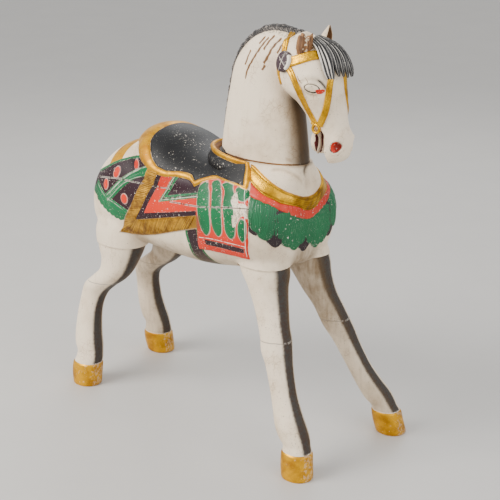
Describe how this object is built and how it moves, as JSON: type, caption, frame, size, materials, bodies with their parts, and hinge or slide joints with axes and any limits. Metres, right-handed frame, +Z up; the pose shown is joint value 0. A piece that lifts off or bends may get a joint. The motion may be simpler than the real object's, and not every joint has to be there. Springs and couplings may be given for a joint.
{
  "type": "carousel horse",
  "caption": "Carved and painted wooden carousel horse standing square on its own hooves, with carved saddle, cloth, breast collar and bridle.",
  "frame": {"origin": "on the floor, under the middle of the whole horse's bounding box", "axes": "+X towards the horse's nose, +Y towards its left side, +Z up"},
  "size_m": [1.0864, 0.5012, 1.2197],
  "materials": {
    "body_paint": "aged painted wood: cream coat, black saddle, gold edges and collar, green, red and aubergine cloth",
    "head_paint": "aged painted wood: cream, black mane and forelock, gold bridle",
    "leg_paint": "aged painted wood: cream with a black shaded front edge and gold hooves"
  },
  "bodies": {
    "root": {"body": "body_paint", "neck_and_head": "head_paint", "foreleg_right": "leg_paint", "foreleg_left": "leg_paint", "hind_leg_right": "leg_paint", "hind_leg_left": "leg_paint"}
  },
  "joints": []
}
